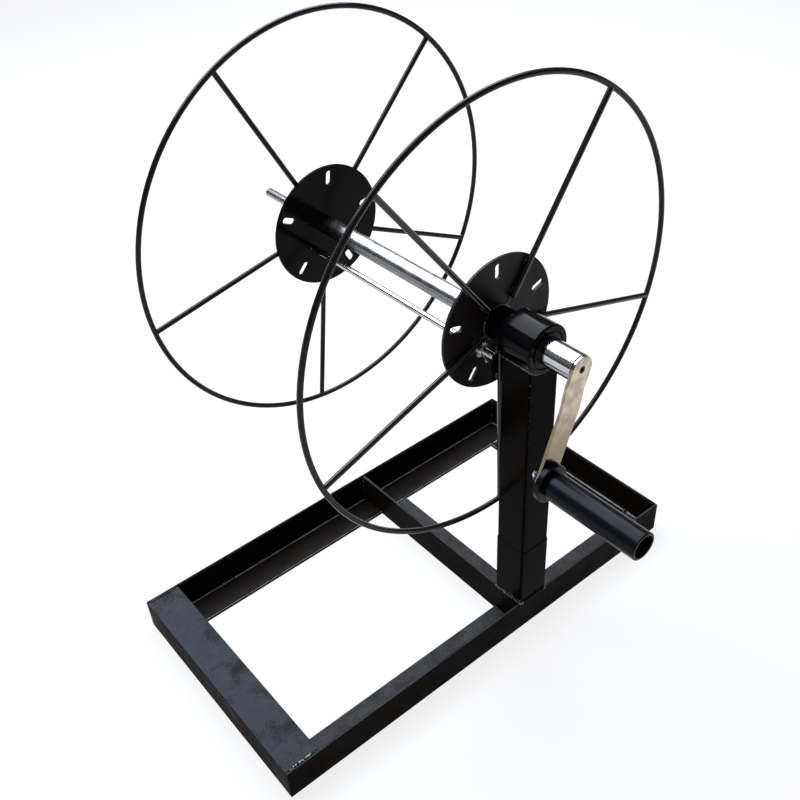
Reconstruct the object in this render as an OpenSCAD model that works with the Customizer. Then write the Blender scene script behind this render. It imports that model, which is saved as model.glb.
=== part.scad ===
// Hand-cranked hose reel on a welded steel floor stand.
// Millimetres. +Z is up, +Y runs back along the reel axis, the crank is at the -Y end.
// The origin is on the floor, straight below the crossing of the post and the reel axis.

/* [Base] */
// Length of the base, foot plate to right-hand rail
base_len = 480; // [450:5:540]
// Width of the base, front rail to back rail
base_w = 250; // [230:5:280]
// Leg of the steel angle that the base is made of
leg = 35; // [32:1:40]
// Thickness of the steel angle
leg_t = 3; // [3:0.5:4]
// Distance from the foot plate's outer face to the middle of the post
post_from_end = 293; // [270:1:310]

/* [Post and bearing] */
// Height of the reel axis above the floor
axis_h = 330; // [310:5:370]
// Side of the square post
post_s = 33; // [31:1:35]
// Height of the top of the socket that the post plugs into
socket_top = 105; // [80:1:130]
// Outside diameter of the bearing housing
housing_d = 44; // [42:1:48]
// Length of the bearing housing
housing_len = 35; // [32:1:38]

/* [Reel] */
// Diameter of the rims, measured to the middle of the rod
rim_d = 400; // [360:5:430]
// Diameter of the rod that the rims and spokes are made of
rod_d = 5; // [4:0.5:6]
// Distance from the middle of the post to the front rim
wheel_offset = 34; // [33:1:40]
// Distance between the two rims
wheel_gap = 243; // [210:1:270]
// Diameter of the hub plates
plate_d = 120; // [114:1:140]
// Thickness of the hub plates
plate_t = 3; // [2:0.5:4]
// Outside diameter of the chrome core tube
core_d = 18; // [17:0.5:20]
// Length of the spindle rod left free behind the rear rim
tail_len = 98; // [60:1:120]
// Direction of the front wheel's first spoke, up from +X
front_phase = 55; // [50:1:60]
// Direction of the rear wheel's first spoke, up from +X
back_phase = 46; // [41:1:60]

/* [Crank] */
// Distance from the reel axis to the grip's axis
arm_len = 98; // [80:1:120]
// Direction of the crank arm, up from +X
arm_angle = -111; // [-180:1:180]
// Width of the crank arm
arm_w = 22.5; // [21:0.5:25]
// Outside diameter of the crank hub
crank_hub_d = 24; // [23:0.5:27]
// Diameter of the grip
grip_d = 24.5; // [23:0.5:30]
// Length of the grip, collar included
grip_len = 96; // [70:1:110]

/* [Hidden] */
$fn = 96;

// Steel angle and square tube
root_r = 4;
toe_r = 1;
tube_wall = 2;
spigot_len = 50;
spigot_gap = 0.6;
tube_r = 2;
socket_proud = 0.5;
socket_s = post_s + 2 * socket_proud;
spigot_s = post_s - 2 * tube_wall;
socket_wall = (socket_s - spigot_s) / 2;
x_left = -post_from_end;
x_right = base_len - post_from_end;
y_front = -socket_s / 2;
y_back = y_front + base_w;

// Bearing head
housing_proud = 2;
housing_wall = 5;
housing_front = -socket_s / 2 - housing_proud;
housing_back = housing_front + housing_len;
housing_bore = housing_d - 2 * housing_wall;
bush_recess = 1;
bush_len = 14;
run_gap = 0.05;
side_play = 0.1;
washer_t = 1.2;
washer_d = 30;
bush_front = housing_front + bush_recess;
bush_back = housing_back - bush_recess;

// Wheels: the plates sit inside the spokes, so the rods lie on their outer faces
spoke_count = 5;
spoke_step = 360 / spoke_count;
rim_r = rim_d / 2;
front_y = wheel_offset;
back_y = wheel_offset + wheel_gap;
front_face = front_y + rod_d / 2;
back_face = back_y - rod_d / 2;
boss_d = 30;
front_boss_y = bush_back + side_play + washer_t;
back_boss_len = 20;
back_end = back_face + back_boss_len;
slot_pitch_r = 0.4 * plate_d;
slot_len = 14;
slot_w = 6;
spoke_end_r = 23;
grub_d = 6;

// Core tube, plugs and spindle rod
core_wall = 2;
core_bore = core_d - 2 * core_wall;
spindle_d = 9;
spindle_neck_d = 8;
spindle_step = 1;
plug_len = 30;
thread_len = 16;

// Grub screws of the bosses, half-way between two spokes
front_grub_y = (front_boss_y + front_y - rod_d / 2) / 2;
back_grub_y = (back_y + rod_d / 2 + back_end) / 2;
front_grub_angle = front_phase + 1.5 * spoke_step;
back_grub_angle = back_phase + 1.5 * spoke_step;

// Tie rod
tie_d = 6;
tie_r = 26;
tie_angle = 222;
tie_washer_d = 14;
nut_af = 10;
nut_t = 3;
stud_len = 11;
tie_front = front_face - washer_t - nut_t - stud_len;
tie_back = back_face + washer_t + nut_t + stud_len;

// Crank
hub_back = bush_front - side_play - washer_t;
hub_len = 32;
hub_floor = 7.5;
hub_front = hub_back - hub_len;
core_front = hub_front + hub_floor;
arm_t = 3;
joggle = 2;
joggle_from = 16;
joggle_to = 34;
arm_back = hub_front - joggle;
arm_front = arm_back - arm_t;

// Grip
grip_bolt_d = 8;
grip_washer_d = 18;
grip_washer_t = 1;
grip_gap = 0.3;
grip_back = arm_front - grip_washer_t - grip_gap;
grip_front = grip_back - grip_len;
collar_lip = 4.75;
collar_d = grip_d + 2 * collar_lip;
collar_t = 5;
neck_cut = 1.5;
neck_d = grip_d - 2 * neck_cut;
neck_len = 5;
grip_round = 1;
cup_d = 20;
cup_deep = 11;
bolt_head_d = 13;
bolt_head_t = 5;
dome_af = 13;
dome_base = 5;
dome_d = 11;

paint = [0.045, 0.045, 0.05];
chrome = [0.83, 0.84, 0.87];
stainless = [0.78, 0.75, 0.69];
zinc = [0.68, 0.69, 0.70];
steel = [0.60, 0.60, 0.62];
nylon = [0.10, 0.10, 0.11];
rubber_black = [0.07, 0.07, 0.08];
oxide = [0.12, 0.12, 0.13];

// Placing helpers

// Puts a piece that stands on the XY plane onto the reel axis, its +Z along +Y, starting at y
module on_axis(y) {
    translate([0, y, axis_h]) rotate([-90, 0, 0]) children();
}

// Puts a piece at a distance from the reel axis, in a direction given up from +X
module at_polar(y, r, angle) {
    translate([r * cos(angle), y, axis_h + r * sin(angle)]) rotate([-90, 0, 0]) children();
}

// Turns a piece that lies along +X to point away from the reel axis
module radial(y, angle) {
    translate([0, y, axis_h]) rotate([0, -angle, 0]) children();
}

// Puts a piece on the grip's axis, its +Z pointing out towards the front
module on_grip(y) {
    translate([arm_len * cos(arm_angle), y, axis_h + arm_len * sin(arm_angle)])
        rotate([90, 0, 0]) children();
}

// Shared shapes

// Section of a hot-rolled steel angle, outside corner at the origin
module angle_section() {
    difference() {
        union() {
            square([leg, leg_t]);
            square([leg_t, leg]);
            translate([leg_t, leg_t]) square(root_r);
        }
        translate([leg_t + root_r, leg_t + root_r]) circle(root_r);
        toe_corner([leg - toe_r, leg_t - toe_r]);
        toe_corner([leg_t - toe_r, leg - toe_r]);
    }
}

// The sliver that rounds off the inner edge of a leg's end
module toe_corner(at) {
    translate(at) difference() {
        square(2 * toe_r);
        circle(toe_r);
    }
}

// Square tube with rounded outer corners, standing on the XY plane
module square_tube(side, height, wall = tube_wall) {
    difference() {
        linear_extrude(height) rounded_square(side, tube_r);
        translate([0, 0, -1]) linear_extrude(height + 2) square(side - 2 * wall, center = true);
    }
}

module rounded_square(side, r) {
    square([side, side - 2 * r], center = true);
    square([side - 2 * r, side], center = true);
    for (x = [-1, 1], y = [-1, 1]) translate([x * (side / 2 - r), y * (side / 2 - r)]) circle(r);
}

// Ring with both outer edges chamfered
module ring(outer, bore, height, edge = 0.6) {
    difference() {
        union() {
            cylinder(d1 = outer - 2 * edge, d2 = outer, h = edge);
            translate([0, 0, edge]) cylinder(d = outer, h = height - 2 * edge);
            translate([0, 0, height - edge]) cylinder(d1 = outer, d2 = outer - 2 * edge, h = edge);
        }
        translate([0, 0, -1]) cylinder(d = bore, h = height + 2);
    }
}

module washer(outer, bore, height) {
    difference() {
        cylinder(d = outer, h = height);
        translate([0, 0, -1]) cylinder(d = bore, h = height + 2);
    }
}

// Hexagon across the flats
module hexagon(across, height) {
    cylinder(d = across / cos(30), h = height, $fn = 6);
}

// Base

// An angle bar along X, its upright leg on the -Y side
module bar_along_x() {
    translate([x_left, 0, 0]) rotate([90, 0, 90]) linear_extrude(base_len) angle_section();
}

// A bar along Y that fits between the upright legs of the front and back rails
module bar_along_y(x) {
    translate([x, y_back - leg_t, 0]) rotate([90, 0, 0])
        linear_extrude(base_w - 2 * leg_t) children();
}

module front_rail() {
    color(paint) translate([0, y_front, 0]) bar_along_x();
}

module back_rail() {
    color(paint) translate([0, y_back, 0]) mirror([0, 1, 0]) bar_along_x();
}

// Cross bars are notched over the flat legs of the two long rails
module notched() {
    difference() {
        children();
        front_rail();
        back_rail();
    }
}

module right_rail() {
    color(paint) notched() bar_along_y(x_right) mirror([1, 0]) angle_section();
}

module cross_rail() {
    color(paint) notched() bar_along_y(-socket_s / 2) angle_section();
}

// The left-hand bar is turned over, so that its flat leg is a step for a foot
module foot_plate() {
    color([0.25, 0.27, 0.30]) notched()
        bar_along_y(x_left) translate([0, leg]) mirror([0, 1]) angle_section();
}

// Post and bearing head

module post_socket() {
    color(paint) translate([0, 0, leg]) square_tube(socket_s, socket_top - leg, socket_wall);
}

// The post's top is cut to the round of the housing, and its lower end is a spigot in the socket
module post() {
    foot = socket_top + spigot_gap;
    spigot_foot = socket_top - spigot_len;
    color(paint) difference() {
        union() {
            translate([0, 0, foot]) linear_extrude(axis_h - foot) rounded_square(post_s, tube_r);
            translate([0, 0, spigot_foot]) linear_extrude(2 * spigot_len) rounded_square(spigot_s, tube_r);
        }
        translate([0, 0, spigot_foot - leg])
            linear_extrude(axis_h) square(spigot_s - 2 * tube_wall, center = true);
        translate([0, 0, spigot_foot + 2 * spigot_len])
            linear_extrude(axis_h) square(post_s - 2 * tube_wall, center = true);
        on_axis(-post_s) cylinder(d = housing_d, h = 2 * post_s);
    }
}

module bearing_housing() {
    color(paint) on_axis(housing_front) ring(housing_d, housing_bore, housing_len, 1);
}

module bush() {
    color(nylon) ring(housing_bore, core_d + 2 * run_gap, bush_len);
}

module front_bush() on_axis(bush_front) bush();

module rear_bush() on_axis(bush_back - bush_len) bush();

// Core

module core_tube() {
    color(chrome) on_axis(core_front) washer(core_d, core_bore, back_end - core_front);
}

// Turned down inside the core tube, full size on the free end behind it
module spindle_rod() {
    tip = 1;
    start = core_front + thread_len;
    neck = back_end + spindle_step - start;
    straight = back_y + tail_len - tip - start;
    color(steel) on_axis(start) {
        cylinder(d = spindle_neck_d, h = neck);
        translate([0, 0, neck]) cylinder(d = spindle_d, h = straight - neck);
        translate([0, 0, straight]) cylinder(d1 = spindle_d, d2 = spindle_d - 2 * tip, h = tip);
    }
}

// Tapped in front for the crank screw, bored behind for the spindle rod
module front_plug() {
    color(steel) on_axis(core_front) difference() {
        cylinder(d = core_bore, h = plug_len);
        translate([0, 0, -1]) cylinder(d = grub_d, h = plug_len + 2);
        translate([0, 0, thread_len]) cylinder(d = spindle_neck_d, h = plug_len);
    }
}

module rear_plug() {
    color(steel) on_axis(back_end - plug_len) washer(core_bore, spindle_neck_d, plug_len);
}

module front_thrust_washer() {
    color(steel) on_axis(hub_back) washer(washer_d, core_d, washer_t);
}

module rear_thrust_washer() {
    color(steel) on_axis(front_boss_y - washer_t) washer(washer_d, core_d, washer_t);
}

// Wheels

// Socket screw that locks a boss to the core tube
module grub_screw(y, angle) {
    color(oxide) radial(y, angle) rotate([0, 90, 0]) difference() {
        translate([0, 0, core_d / 2]) cylinder(d = grub_d, h = (boss_d - core_d) / 2);
        translate([0, 0, boss_d / 2 - 3]) hexagon(3, 4);
        on_core();
    }
}

// The core tube's outside, seen from a screw that points at it
module on_core() {
    rotate([90, 0, 0]) cylinder(d = core_d, h = 2 * grub_d, center = true);
}

module grub_hole(y, angle) {
    radial(y, angle) rotate([0, 90, 0]) cylinder(d = grub_d, h = boss_d);
}

module front_boss() {
    color(paint) difference() {
        on_axis(front_boss_y) ring(boss_d, core_d, front_face - front_boss_y);
        grub_hole(front_grub_y, front_grub_angle);
    }
}

module back_boss() {
    color(paint) difference() {
        on_axis(back_face) ring(boss_d, core_d, back_boss_len);
        grub_hole(back_grub_y, back_grub_angle);
    }
}

module front_grub_screw() grub_screw(front_grub_y, front_grub_angle);

module back_grub_screw() grub_screw(back_grub_y, back_grub_angle);

// Round-ended slot along X, through a plate that lies on the XY plane
module slot() {
    reach = (slot_len - slot_w) / 2;
    translate([-reach, -slot_w / 2, -1]) cube([2 * reach, slot_w, plate_t + 2]);
    for (x = [-reach, reach]) translate([x, 0, -1]) cylinder(d = slot_w, h = plate_t + 2);
}

// Hub plate with a slot half-way between each pair of spokes
module hub_plate(y, phase) {
    color(paint) difference() {
        on_axis(y) ring(plate_d, core_d, plate_t, 0.4);
        for (i = [1:spoke_count]) {
            angle = phase + (i - 0.5) * spoke_step;
            at_polar(y, slot_pitch_r, angle) rotate([0, 0, -angle]) slot();
        }
        at_polar(y - 1, tie_r, tie_angle) cylinder(d = tie_d, h = plate_t + 2);
    }
}

module front_plate() hub_plate(front_face, front_phase);

module back_plate() hub_plate(back_face - plate_t, back_phase);

module rim(y) {
    color(paint) on_axis(y) rotate_extrude() translate([rim_r, 0]) circle(d = rod_d);
}

module front_rim() rim(front_y);

module back_rim() rim(back_y);

// Straight rod that lies on the hub plate, its outer end cut to fit the rim
module spoke(y, angle) {
    tip = 0.8;
    color(paint) difference() {
        radial(y, angle) translate([spoke_end_r, 0, 0]) rotate([0, 90, 0]) {
            cylinder(d1 = rod_d - 2 * tip, d2 = rod_d, h = tip);
            translate([0, 0, tip]) cylinder(d = rod_d, h = rim_r - 1 - spoke_end_r - tip);
        }
        rim(y);
    }
}

module front_spoke(i) spoke(front_y, front_phase + (i - 1) * spoke_step);

module back_spoke(i) spoke(back_y, back_phase + (i - 1) * spoke_step);

// Tie rod between the plates, with a nut and washer outside each

module tie_rod() {
    tip = 0.8;
    straight = tie_back - tie_front - 2 * tip;
    color(chrome) at_polar(tie_front, tie_r, tie_angle) {
        cylinder(d1 = tie_d - 2 * tip, d2 = tie_d, h = tip);
        translate([0, 0, tip]) cylinder(d = tie_d, h = straight);
        translate([0, 0, tip + straight]) cylinder(d1 = tie_d, d2 = tie_d - 2 * tip, h = tip);
    }
}

module tie_washer(y) {
    color(zinc) at_polar(y, tie_r, tie_angle) washer(tie_washer_d, tie_d, washer_t);
}

module tie_nut(y) {
    color(zinc) at_polar(y, tie_r, tie_angle) difference() {
        intersection() {
            hexagon(nut_af, nut_t);
            ring(1.12 * nut_af, tie_d - 1, nut_t, 0.7);
        }
        translate([0, 0, -1]) cylinder(d = tie_d, h = nut_t + 2);
    }
}

module tie_washer_front() tie_washer(front_face - washer_t);

module tie_nut_front() tie_nut(front_face - washer_t - nut_t);

module tie_washer_back() tie_washer(back_face);

module tie_nut_back() tie_nut(back_face + washer_t);

// Crank

// Chrome sleeve on the front end of the core tube, closed in front
module crank_hub() {
    color(chrome) on_axis(hub_front) difference() {
        cylinder(d = crank_hub_d, h = hub_len);
        translate([0, 0, hub_floor]) cylinder(d = core_d, h = hub_len);
        translate([0, 0, -1]) cylinder(d = grub_d, h = hub_len);
    }
}

// The arm seen edge-on: flat on the hub, then set forward by the joggle
module arm_edge() {
    end = arm_w / 2;
    lean = atan2(joggle, joggle_to - joggle_from);
    shift = arm_t * tan(lean / 2);
    polygon([
        [-end, hub_front],
        [joggle_from, hub_front],
        [joggle_to, arm_back],
        [arm_len + end, arm_back],
        [arm_len + end, arm_front],
        [joggle_to - shift, arm_front],
        [joggle_from - shift, hub_front - arm_t],
        [-end, hub_front - arm_t]]);
}

// The arm seen from the front: a strip with two round ends
module arm_face() {
    translate([0, -arm_w / 2]) square([arm_len, arm_w]);
    for (x = [0, arm_len]) translate([x, 0]) circle(d = arm_w);
}

module crank_arm() {
    deep = 60;
    color(stainless) radial(0, arm_angle) difference() {
        intersection() {
            linear_extrude(arm_w, center = true) arm_edge();
            translate([0, arm_front - 1, 0]) rotate([-90, 0, 0]) linear_extrude(deep) arm_face();
        }
        translate([0, arm_front - 1, 0]) rotate([-90, 0, 0]) cylinder(d = grub_d, h = deep);
        translate([arm_len, arm_front - 1, 0]) rotate([-90, 0, 0])
            cylinder(d = grip_bolt_d, h = deep);
    }
}

// Socket screw through the arm and the hub into the front plug
module crank_screw() {
    start = hub_front - arm_t + 0.3;
    color(oxide) on_axis(start) difference() {
        cylinder(d = grub_d, h = core_front + thread_len - start);
        translate([0, 0, -1]) hexagon(3, 4);
    }
}

// Grip

module grip_washer() {
    color(zinc) on_grip(arm_front) washer(grip_washer_d, grip_bolt_d, grip_washer_t);
}

// Shoulder bolt that the grip turns on, its head sunk in the grip's outer end
module grip_bolt() {
    head_y = grip_front + cup_deep - grip_gap;
    shank = arm_back + dome_base + 2 - head_y;
    color(steel) on_grip(head_y) {
        translate([0, 0, -shank]) cylinder(d = grip_bolt_d, h = shank);
        difference() {
            cylinder(d = bolt_head_d, h = bolt_head_t);
            translate([0, 0, bolt_head_t - 3]) hexagon(6, 4);
        }
    }
}

// Domed nut on the back of the arm
module grip_nut() {
    hole = dome_base + 2;
    color(chrome) on_grip(arm_back) mirror([0, 0, 1]) difference() {
        union() {
            hexagon(dome_af, dome_base);
            translate([0, 0, dome_base]) intersection() {
                sphere(d = dome_d);
                translate([-dome_d, -dome_d, -1]) cube(2 * dome_d);
            }
        }
        translate([0, 0, -1]) cylinder(d = grip_bolt_d, h = hole + 1);
    }
}

// Half section of the grip: a collar at the arm, a neck, a plain barrel and a cup for the bolt head
module grip_section() {
    difference() {
        union() {
            rounded_bar(collar_d / 2, 0, collar_t);
            square([neck_d / 2, collar_t + neck_len + 1]);
            rounded_bar(grip_d / 2, collar_t + neck_len, grip_len);
        }
        translate([-1, -1]) square([1 + grip_bolt_d / 2 + run_gap, grip_len + 2]);
        translate([-1, grip_len - cup_deep]) square([1 + cup_d / 2, cup_deep + 1]);
    }
}

// Half of a bar from z0 to z1, its far outer corner rounded
module rounded_bar(r, z0, z1) {
    translate([0, z0]) square([r - grip_round, z1 - z0]);
    translate([0, z0]) square([r, z1 - z0 - grip_round]);
    translate([r - grip_round, z1 - grip_round]) circle(grip_round);
}

module grip() {
    color(rubber_black) on_grip(grip_back) rotate_extrude() grip_section();
}

// Drawing

front_rail();
back_rail();
right_rail();
cross_rail();
foot_plate();
post_socket();
post();
bearing_housing();
front_bush();
rear_bush();
core_tube();
spindle_rod();
front_plug();
rear_plug();
front_thrust_washer();
rear_thrust_washer();
front_boss();
back_boss();
front_grub_screw();
back_grub_screw();
front_plate();
back_plate();
front_rim();
back_rim();
for (i = [1:spoke_count]) {
    front_spoke(i);
    back_spoke(i);
}
tie_rod();
tie_washer_front();
tie_nut_front();
tie_washer_back();
tie_nut_back();
crank_hub();
crank_arm();
crank_screw();
grip_bolt();
grip_nut();
grip_washer();
grip();
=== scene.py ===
"""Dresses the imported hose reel: rounded edges, weld beads, thread, wing nut, finishes, stage and camera."""

import math
import random

import bpy
from mathutils import Matrix, Vector


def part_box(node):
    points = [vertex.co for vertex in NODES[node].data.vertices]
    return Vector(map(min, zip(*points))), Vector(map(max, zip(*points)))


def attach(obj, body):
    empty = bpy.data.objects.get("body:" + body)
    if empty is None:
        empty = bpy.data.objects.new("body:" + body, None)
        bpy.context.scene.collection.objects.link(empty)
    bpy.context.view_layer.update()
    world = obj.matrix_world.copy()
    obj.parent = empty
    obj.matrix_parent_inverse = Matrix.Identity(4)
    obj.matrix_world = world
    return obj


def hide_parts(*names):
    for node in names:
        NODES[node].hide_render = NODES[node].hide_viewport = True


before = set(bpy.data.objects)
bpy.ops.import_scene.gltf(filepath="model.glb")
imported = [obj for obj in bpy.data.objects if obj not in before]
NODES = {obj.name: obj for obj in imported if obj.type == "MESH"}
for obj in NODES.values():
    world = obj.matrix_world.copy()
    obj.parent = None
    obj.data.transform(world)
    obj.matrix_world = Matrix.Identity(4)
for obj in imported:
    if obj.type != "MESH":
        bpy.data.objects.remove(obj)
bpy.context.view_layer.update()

bl_info = {
    "name": "Hose reel",
    "version": (1, 0, 0),
    "blender": (4, 2, 0),
    "location": "3D View > Sidebar > Hose reel",
    "description": "Dresses a cranked hose reel on a steel stand with its finishes, welds and stage",
    "category": "Object",
}

MM = 0.001

# Mirror strengths of the paint. Most are low, so that the white floor doesn't grey the black faces;
# the front spokes and the painted welds have the full shine of enamel.
BAR_SHINE = 0.012
GLOSS_SHINE = 0.075
PLATE_SHINE = 0.13
ROD_SHINE = 0.22
SLEEK_SHINE = 0.5

# Most values of a noise pattern lie between these
NOISE_SPAN = {"From Min": 0.3, "From Max": 0.7}
# A mix node with these settings multiplies two colours
TINT = {"data_type": "RGBA", "blend_type": "MULTIPLY"}

# Edges that turn by more than this are rounded
SHARP_ANGLE = math.radians(38)
# Faces of a round are nearly level where the upward part of their normal lies between these
NEARLY_LEVEL = (0.86, 0.995)

# A weld ripple's length, width and height as shares of the bead's width
RIPPLE_FORM = (0.62, 1.0, 0.72)
# Distance between ripples, how far they stray sideways and how deep they sit, as shares of that width
RIPPLE_STEP = 0.42
RIPPLE_DRIFT = 0.06
RIPPLE_SINK = 0.12
# The smallest and largest ripple, as shares of the usual one
RIPPLE_SIZES = (0.86, 1.1)
# Cells across a bead when its ripples are melted together
MELT_CELLS = 9

FRONT_SPOKES = [f"front_spoke_{i}" for i in range(1, 6)]
BACK_SPOKES = [f"back_spoke_{i}" for i in range(1, 6)]


def linear(code):
    """An sRGB hex colour as linear red, green and blue."""
    values = [int(code[i : i + 2], 16) / 255 for i in (1, 3, 5)]
    return tuple(v / 12.92 if v <= 0.04045 else ((v + 0.055) / 1.055) ** 2.4 for v in values)


def centre(node):
    """The middle of a CAD node's box."""
    low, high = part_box(node)
    return (low + high) / 2


def half_width(node):
    """Half of a CAD node's width along X, which is the radius of a round one."""
    low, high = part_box(node)
    return (high.x - low.x) / 2


def per(size_mm):
    """The scale of a pattern whose features are about this many millimetres across."""
    return 1 / (size_mm * MM)


# Settings that a user would change


def colour_setting(name, description, code):
    """A colour, with its default as an sRGB hex value."""
    return bpy.props.FloatVectorProperty(
        name=name, description=description, subtype="COLOR", min=0, max=1, default=linear(code))


def length_setting(name, description, low, high, usual):
    """A length, with its range and its default in millimetres."""
    return bpy.props.FloatProperty(
        name=name, description=description, unit="LENGTH", min=low * MM, max=high * MM, default=usual * MM)


def angle_setting(name, description, degrees):
    """An angle, with its default in degrees."""
    return bpy.props.FloatProperty(
        name=name, description=description, subtype="ANGLE", default=math.radians(degrees))


class ReelFinishes(bpy.types.PropertyGroup):
    """Colours of the reel's finishes"""

    enamel: colour_setting("Enamel", "Warm black paint of the bars, the post and the welds", "#19140f")
    gloss: colour_setting(
        "Gloss enamel", "Blue-black paint of the bearing head, bosses and rear hub plate", "#0b0b0e")
    plate: colour_setting("Satin enamel", "Thin brownish black paint of the front hub plate", "#2c2724")
    rod: colour_setting("Rod enamel", "Thin dipped black paint of the rims and spokes", "#211e1b")
    # This light grey is a painted highlight on low rounds of the back and right-hand bars.
    highlight_grey: colour_setting(
        "Highlight grey", "Thin paint on low rounds of the back and right-hand bars", "#9a9791")
    # The grey film on faces that look up is partly dust and partly a painted sheen.
    dust: colour_setting("Dust and sheen", "Grey film on the faces that look up", "#4b4c4e")
    # The grey on top of the foot plate is partly wear and partly a painted sheen.
    step: colour_setting("Scuffed step", "Worn paint on top of the foot plate", "#44484d")
    chrome: colour_setting("Chrome", "Plating of the core tube, crank hub, tie rod and grip nut", "#d4d6d9")
    arm: colour_setting("Crank arm", "Polished stainless steel of the crank arm", "#bbaf9d")
    grip_end_tone: colour_setting("Grip end tone", "Warm tone of the crank arm towards the grip", "#8d816a")
    steel: colour_setting("Drawn steel", "Bare steel of the spindle, the plugs and weld specks", "#a3a2a2")
    zinc: colour_setting("Zinc", "Plating of the tie rod's wing nut and washers", "#c3c6ca")
    oxide: colour_setting("Black oxide", "Oiled black of the screws, bolt and rear nut", "#3a3836")
    nylon: colour_setting("Nylon", "Plastic of the bushes and thrust washers", "#101012")
    grip: colour_setting("Grip", "Moulded plastic of the crank grip", "#10121a")


class ReelSizes(bpy.types.PropertyGroup):
    """Sizes of the small detail on the reel"""

    bar_edge: length_setting("Bar edge", "Round on the edges of the angle bars and tubes", 0.1, 1, 0.5)
    plate_edge: length_setting(
        "Plate edge", "Round on the edges of the hub plates, bosses and crank hub", 0.1, 1, 0.4)
    arm_edge: length_setting("Arm edge", "Round on the edges of the crank arm", 0.1, 1.5, 0.7)
    weld_width: length_setting("Weld width", "Width of a weld bead on the stand", 2, 8, 5)
    rod_weld_width: length_setting("Rod weld width", "Width of a weld spot on the wheels", 1, 5, 3.2)
    thread_pitch: length_setting("Thread pitch", "Pitch of the thread on the tie rod", 0.5, 2, 1)
    wing_reach: length_setting(
        "Wing reach", "From the tie rod's axis to the tips of its wing nut", 9, 14, 11.3)
    wing_rise: length_setting(
        "Wing rise", "From the wing nut's foot to the middle of its wing tips", 3, 8, 4.2)
    wing_turn: angle_setting("Wing turn", "Turn of the wings from +X towards +Z", 94)


class ReelStage(bpy.types.PropertyGroup):
    """Floor, light and camera"""

    floor_size: bpy.props.FloatProperty(
        name="Floor", description="Side of the square floor",
        unit="LENGTH", min=2, max=40, default=40)
    floor_colour: colour_setting("Floor colour", "Plain pale floor", "#6a6a6a")
    floor_glow: bpy.props.FloatProperty(
        name="Floor white", description="White added to the floor where it is seen",
        min=0, max=1, default=0.83)
    room: bpy.props.FloatProperty(
        name="Room", description="Strength of the dim light all round",
        min=0, max=3, default=0.14)
    room_colour: colour_setting("Room colour", "Colour of the dim light all round", "#f1f3fa")
    box_power: bpy.props.FloatProperty(
        name="Softbox", description="Power of the wide softbox over the reel",
        unit="POWER", min=0, max=200, default=66)
    box_colour: colour_setting("Softbox colour", "Colour of the softbox", "#eaf1ff")
    box_place: bpy.props.FloatVectorProperty(
        name="Softbox place", description="Middle of the softbox",
        subtype="TRANSLATION", unit="LENGTH", default=(0.175, 0.875, 1.42))
    box_size: bpy.props.FloatVectorProperty(
        name="Softbox size", description="Length along X and width along Y of the softbox",
        size=2, unit="LENGTH", default=(2.05, 1.15))
    camera_place: bpy.props.FloatVectorProperty(
        name="Camera place", description="Where the camera stands",
        subtype="TRANSLATION", unit="LENGTH", default=(-0.474, -0.4403, 0.7841))
    camera_heading: angle_setting("Heading", "Turn of the view from +Y towards +X", 34.395)
    camera_tilt: angle_setting("Tilt", "Tilt of the view above the horizon", -38.964)
    camera_roll: angle_setting("Roll", "Roll of the camera about its view", -5.665)
    camera_lens: bpy.props.FloatProperty(
        name="Lens", description="Focal length in millimetres on a 36 mm sensor",
        unit="CAMERA", min=10, max=200, default=43.9)
    camera_shift: bpy.props.FloatVectorProperty(
        name="Shift", description="Lens shift across and up, in picture widths",
        size=2, default=(0.0527, 0.016))


# Materials


def add(tree, kind, inputs=None, **settings):
    """Adds a node with its settings; inputs holds values, or a node and the name of its output to link."""
    made = tree.nodes.new(kind)
    for name, value in settings.items():
        setattr(made, name, value)
    for name, value in (inputs or {}).items():
        socket = made.inputs[name]
        if isinstance(value, tuple) and isinstance(value[0], bpy.types.Node):
            tree.links.new(value[0].outputs[value[1]], socket)
        elif socket.type == "RGBA":
            socket.default_value = (*value[:3], 1)
        else:
            socket.default_value = value
    return made


def new_material(name):
    """A material and its tree, which is still empty."""
    material = bpy.data.materials.new(name)
    material.use_nodes = True
    tree = material.node_tree
    tree.nodes.clear()
    return material, tree


def surfaced(material, shader, output="BSDF"):
    """Links the shader to the material's surface, and gives the material back."""
    add(material.node_tree, "ShaderNodeOutputMaterial", {"Surface": (shader, output)})
    return material


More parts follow.
